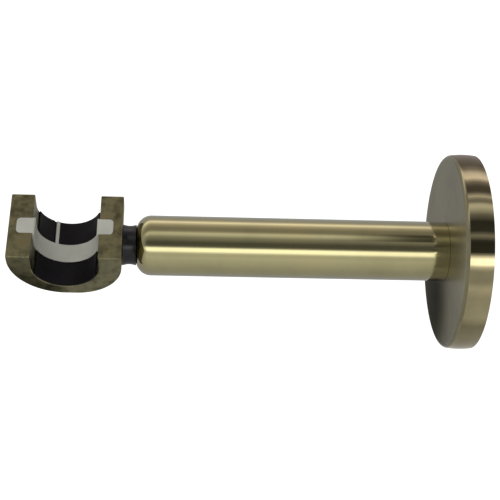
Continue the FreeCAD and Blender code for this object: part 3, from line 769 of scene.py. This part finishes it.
def cradle_grid(outer, inner, half_length, round_off, end_round):
    """Points of a bar bent in a U: the section between outer and inner, carried round the U.

    The last rings rise to the top and draw in round a quarter circle, so the arms' tops have soft edges.
    """
    section = rounded_section(round_off)
    level = np.array([0.12, 0.4, 0.7, 0.9, 1.0])
    draw_in = end_round * (1 - np.sqrt(1 - level ** 2))
    last = len(outer) - 1
    rings = np.concatenate([np.zeros(len(level), int), np.arange(len(outer)), np.full(len(level), last)])
    flat = np.zeros(len(outer))
    shrink = np.concatenate([draw_in[::-1], flat, draw_in])
    lift = end_round * np.concatenate([level[::-1], flat, level])
    rise = np.stack([np.zeros(len(rings)), lift], axis=-1)
    start = outer[rings] + rise
    inward = inner[rings] + rise - start
    depth = np.linalg.norm(inward, axis=1, keepdims=True)
    inset = shrink[:, None] * (1 - 2 * section[None, :, 0])
    out = section[None, :, 0] * depth + section[None, :, 1] + inset
    y = (2 * section[None, :, 2] - 1) * (half_length - shrink[:, None]) + section[None, :, 3]
    spot = start[:, None, :] + (inward / depth)[:, None, :] * out[..., None]
    return np.stack([spot[..., 0], y, spot[..., 1]], axis=-1)


def cut_or_join(piece, tool, operation):
    """Applies an exact boolean of the tool to the piece and removes the tool."""
    change = piece.modifiers.new(operation.lower(), "BOOLEAN")
    change.operation = operation
    change.solver = "EXACT"
    change.object = tool
    graph = bpy.context.evaluated_depsgraph_get()
    result = bpy.data.meshes.new_from_object(piece.evaluated_get(graph))
    piece.modifiers.clear()
    piece.data = result
    bpy.data.objects.remove(tool)
    piece.data.shade_smooth()
    piece.data.set_sharp_from_angle(angle=sharp_angle)


def upright_grid(x, outline, turns=64):
    """Points of a surface turned about an upright line at x, from pairs of height and radius."""
    turn = np.linspace(0, 2 * np.pi, turns, endpoint=False)
    z, radius = np.asarray(outline, float).T[..., None]
    return np.stack([
        x + radius * np.cos(turn), radius * np.sin(turn), np.broadcast_to(z, (len(z), turns))], axis=-1)


def ear_grid(outer, inner, half_width, round_off, low, high, steps=9):
    """Points of an ear-shaped block: its plan has quarter circles at outer and is square at inner."""
    toward = np.sign(inner - outer)
    turn = np.linspace(0, np.pi / 2, steps)
    x = outer + toward * round_off * (1 - np.sin(turn))
    y = half_width - round_off * (1 - np.cos(turn))
    plan = np.vstack([
        np.stack([x, y], axis=-1), np.stack([x, -y], axis=-1)[::-1],
        [[inner, -half_width], [inner, half_width]]])
    return np.stack([np.column_stack([plan, np.full(len(plan), z)]) for z in (low, high)])


strap_low, strap_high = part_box("pole_strap")
ear_left = strap_low.x / mm
ear_right = strap_high.x / mm
ear_sheet = 1.2
ear_half = 3.8
ear_round = 1.6
peg_radius = 1.5
peg_length = 3.0
peg_depth = 3.3
cut_past = 1.0
outer_curve = hanging_curve(
    cup_left, cup_right, cup_radius, heel_radius, cup_low.z / mm, cup_top - top_round)
inner_curve = hanging_curve(
    bore_middle - bore_radius, bore_middle + bore_radius, bore_radius, bore_radius,
    bore_height - bore_radius, cup_top - top_round)
cup_brass = finish_with(
    "cup_brass",
    [(0.33, (0.085, 0.078, 0.042)), (0.46, (0.15, 0.14, 0.076)), (0.57, (0.20, 0.185, 0.10)),
     (0.72, (0.21, 0.16, 0.085))],
    roughness=(0.26, 0.44), metallic=1.0, cloud_scale=190.0, stretch=(900.0, 120.0, 900.0),
    bump=(0.22, 0.03 * mm))
cradle = cradle_grid(outer_curve, inner_curve, cup_half, edge_round, top_round)
cup = skin("cup_cradle", cradle, cup_brass)

# The boss stands in the right arm and ends in a flat side with a soft edge, given as pairs: back from the
# flat side, in from the round one. The stud's bore goes in from there, a little deeper than the stud.
boss_root = bore_middle + bore_radius + arm_skin
boss_x = np.concatenate([[boss_root], cup_right - boss_edge[:, 0]])
boss_r = np.concatenate([[boss_radius], boss_radius - boss_edge[:, 1]])
cut_or_join(cup, skin("boss", turned_grid(boss_x, boss_r), cup_brass), "UNION")
stud_bore = turned_grid([stud_low.x / mm - stud_room, cup_right + cut_past], [stud_crest, stud_crest])
cut_or_join(cup, skin("stud_bore", stud_bore, cup_brass), "DIFFERENCE")

# Each arm's seat runs from the ear's end out into the open bore, and its peg hole goes on down from it.
peg_places = ((ear_left + bore_middle - bore_radius) / 2, (ear_right + bore_middle + bore_radius) / 2)
seat_floor = cup_top - ear_sheet
for outward, ear_end, peg_x in ((-1, ear_left, peg_places[0]), (1, ear_right, peg_places[1])):
    seat = ear_grid(
        ear_end + outward * seat_clearance, bore_middle + outward * (bore_radius - cut_past),
        ear_half + seat_clearance, ear_round, seat_floor - seat_clearance, cup_top + cut_past)
    cut_or_join(cup, skin("ear_seat", seat, cup_brass), "DIFFERENCE")
    hole_radius = peg_radius + seat_clearance
    hole = upright_grid(peg_x, [(seat_floor - peg_depth, hole_radius), (cup_top, hole_radius)])
    cut_or_join(cup, skin("peg_hole", hole, cup_brass), "DIFFERENCE")
stands_for(cup, "cup_body")


# Liner. A thin black moulded lining in the bore's lower part, so that the pole doesn't mark the brass.
# It is slotted for the strap's rib and grooved for its band. The slot keeps a thin floor of black lining,
# liner_floor thick, so the gap beside the rib shows black: painted shade where the brass bore would lie in
# shade. The band covers the groove, so the skin leaves that out.
def arc_bar_grid(middle, height, outer, inner, edge, half_length, round_off, turns=120):
    """Points of a thin curved bar: a section between two circles, carried round the lower part of them.

    It ends at both sides where the outer circle meets the edge's height.
    """
    end_turn = math.asin((edge - height) / outer)
    turn = np.linspace(-np.pi - end_turn, end_turn, turns)
    section = rounded_section(round_off, hold=0.05)
    radius = outer - section[None, :, 0] * (outer - inner) - section[None, :, 1]
    y = (2 * section[None, :, 2] - 1) * half_length + section[None, :, 3]
    y = np.broadcast_to(y, (len(turn), len(section)))
    return np.stack([
        middle + radius * np.cos(turn)[:, None], y, height + radius * np.sin(turn)[:, None]], axis=-1)


def radial_block(reach, side, length, rounding=None):
    """Points of a block that stands in the bore where the rib is, square to the bore.

    reach is its least and most distance from the bore's middle, side its two sides across the rib, and
    length its two ends along the pole. rounding gives each corner's radius.
    """
    lean = -np.pi / 2 - math.asin(rib_offset / bore_radius)
    out_way = np.array([math.cos(lean), math.sin(lean)])
    side_way = np.array([-out_way[1], out_way[0]])
    ring = np.array([(reach[0], side[0]), (reach[0], side[1]), (reach[1], side[1]), (reach[1], side[0])])
    if rounding is not None:
        ring = rounded_outline(ring, rounding, arc_steps=4, hold=0.05)
    spot = np.array([bore_middle, bore_height]) + ring[:, :1] * out_way + ring[:, 1:] * side_way
    return np.stack([np.column_stack([spot[:, 0], np.full(len(spot), y), spot[:, 1]]) for y in length])


liner_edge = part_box("cup_liner")[1].z / mm
liner_inner = 12.9
liner_round = 0.12
liner_floor = 0.12
strap_half = 4.3
rib_offset = 5.4
rib_width = 1.4
rib_gap = 1.0
rib_clearance = 0.02
hair = 0.01
liner_black = finish_with(
    "liner_black", [(0.3, (0.003, 0.0027, 0.0034)), (0.7, (0.006, 0.0053, 0.0069))],
    roughness=(0.42, 0.58), metallic=0.0, cloud_scale=120.0, stretch=(1500.0, 1500.0, 1500.0),
    bump=(0.3, 0.02 * mm), specular=0.09)
lining = arc_bar_grid(
    bore_middle, bore_height, bore_radius - hair, liner_inner, liner_edge, cup_half, liner_round)
liner = skin("bore_lining", lining, liner_black)
# The slot stops liner_floor short of the bore, so its floor is black lining: painted shade in the gap beside
# the rib.
slot = radial_block(
    (liner_inner - cut_past, bore_radius - liner_floor),
    (-rib_width / 2 - rib_gap, rib_width / 2 + rib_clearance), (strap_half, cup_half + cut_past))
cut_or_join(liner, skin("rib_slot", slot, liner_black), "DIFFERENCE")
stands_for(liner, "cup_liner")


# Strap. One white nylon moulding: a band across the seat, walls that rise inside the arms, an ear let
# into each arm's top with a peg below it, and a thin rib that runs along the bore to the far rim.
def strap_path(seat, lip, top, left_end, right_end):
    """The strap's visible line and the direction into the material, from the left ear's end to the right's.

    Half of it is the ear, a quarter circle over the arm's edge, the wall and a quarter of the seat. The
    other half is its mirror image, with its ear drawn out to the right ear's length. ear_gaps and
    wall_gaps keep the even steps there clear of the curves at both their ends.
    """
    ear_gaps = (0.3, 0.15)
    wall_gaps = (0.2, 0.1)
    inner_left = bore_middle - seat
    corner_steps = [0.0, 0.05, 0.2, 0.45, 0.8, 1.2, ear_round]
    even_steps = np.linspace(ear_round + ear_gaps[0], inner_left - lip - left_end - ear_gaps[1], 5)
    ear_x = left_end + np.concatenate([corner_steps, even_steps])
    ear = np.column_stack([ear_x, np.full(len(ear_x), top)])
    ear_in = np.tile([0.0, -1.0], (len(ear), 1))
    lip_turn = np.linspace(0, np.pi / 2, 9)
    bend_in = -np.column_stack([np.sin(lip_turn), np.cos(lip_turn)])
    bend = np.array([inner_left - lip, top - lip]) - lip * bend_in
    wall_z = np.linspace(top - lip - wall_gaps[0], bore_height + wall_gaps[1], 8)
    wall = np.column_stack([np.full(len(wall_z), inner_left), wall_z])
    wall_in = np.tile([-1.0, 0.0], (len(wall), 1))
    turn = np.linspace(np.pi, 1.5 * np.pi, 49)
    arc_in = np.column_stack([np.cos(turn), np.sin(turn)])
    arc = np.array([bore_middle, bore_height]) + seat * arc_in
    left = np.vstack([ear, bend, wall, arc])
    left_in = np.vstack([ear_in, bend_in, wall_in, arc_in])
    mirror = left[::-1][1:] * [-1, 1] + [2 * bore_middle, 0]
    mirror_in = left_in[::-1][1:] * [-1, 1]
    ear_start = bore_middle + seat + lip
    far = mirror[:, 0] > ear_start
    span = mirror[far, 0].max() - ear_start
    mirror[far, 0] = ear_start + (mirror[far, 0] - ear_start) * (right_end - ear_start) / span
    return np.vstack([left, mirror]), np.vstack([left_in, mirror_in])


def carried_grid(line, into, thickness, half_width, round_off):
    """Points of a strip: a rounded section carried along a line, with its own thickness and width."""
    section = rounded_section(round_off, hold=0.08)
    depth = section[None, :, 0] * thickness[:, None] + section[None, :, 1]
    y = (2 * section[None, :, 2] - 1) * half_width[:, None] + section[None, :, 3]
    spot = line[:, None, :] + into[:, None, :] * depth[..., None]
    return np.stack([spot[..., 0], y, spot[..., 1]], axis=-1)


seat_radius = 12.5
strap_lip = 0.8
band_sheet = 0.7
wall_sheet = 1.0
strap_round = 0.18
line, into = strap_path(seat_radius, strap_lip, cup_top, ear_left, ear_right)
from_middle = np.abs(line[:, 0] - bore_middle)
is_ear = from_middle > seat_radius + strap_lip - hair
in_liner = line[:, 1] < liner_edge
sheet = np.where(in_liner, band_sheet, np.where(is_ear, ear_sheet, wall_sheet))
from_end = np.minimum(line[:, 0] - ear_left, ear_right - line[:, 0])
curl = np.clip(ear_round - from_end, 0, ear_round)
plan = ear_half - ear_round + np.sqrt(ear_round ** 2 - curl ** 2)
bend_share = np.clip((from_middle - seat_radius) / strap_lip, 0, 1)
half_width = np.where(is_ear, plan, strap_half + (ear_half - strap_half) * bend_share)
nylon = finish_with(
    "white_nylon", [(0.3, (0.33, 0.33, 0.285)), (0.7, (0.40, 0.40, 0.355))],
    roughness=(0.38, 0.52), metallic=0.0, cloud_scale=90.0, stretch=(1500.0, 1500.0, 1500.0),
    bump=(0.25, 0.02 * mm), specular=0.35)
strap = skin("nylon_saddle", carried_grid(line, into, sheet, half_width, strap_round), nylon)
rib_top = 12.7
rib_root = 0.4
rib_round = 0.15
rib_foot_round = 0.05
rib_grid = radial_block(
    (rib_top, bore_radius - liner_floor - hair), (-rib_width / 2, rib_width / 2),
    (strap_half - rib_root, cup_half), rounding=(rib_round, rib_round, rib_foot_round, rib_foot_round))
cut_or_join(strap, skin("rib", rib_grid, nylon), "UNION")
peg_taper = 0.3
peg_line = [(seat_floor - peg_length, peg_radius - peg_taper),
            (seat_floor - peg_length + peg_taper, peg_radius), (seat_floor + peg_taper, peg_radius)]
for peg_x in peg_places:
    cut_or_join(strap, skin("peg", upright_grid(peg_x, peg_line), nylon), "UNION")
stands_for(strap, "pole_strap")
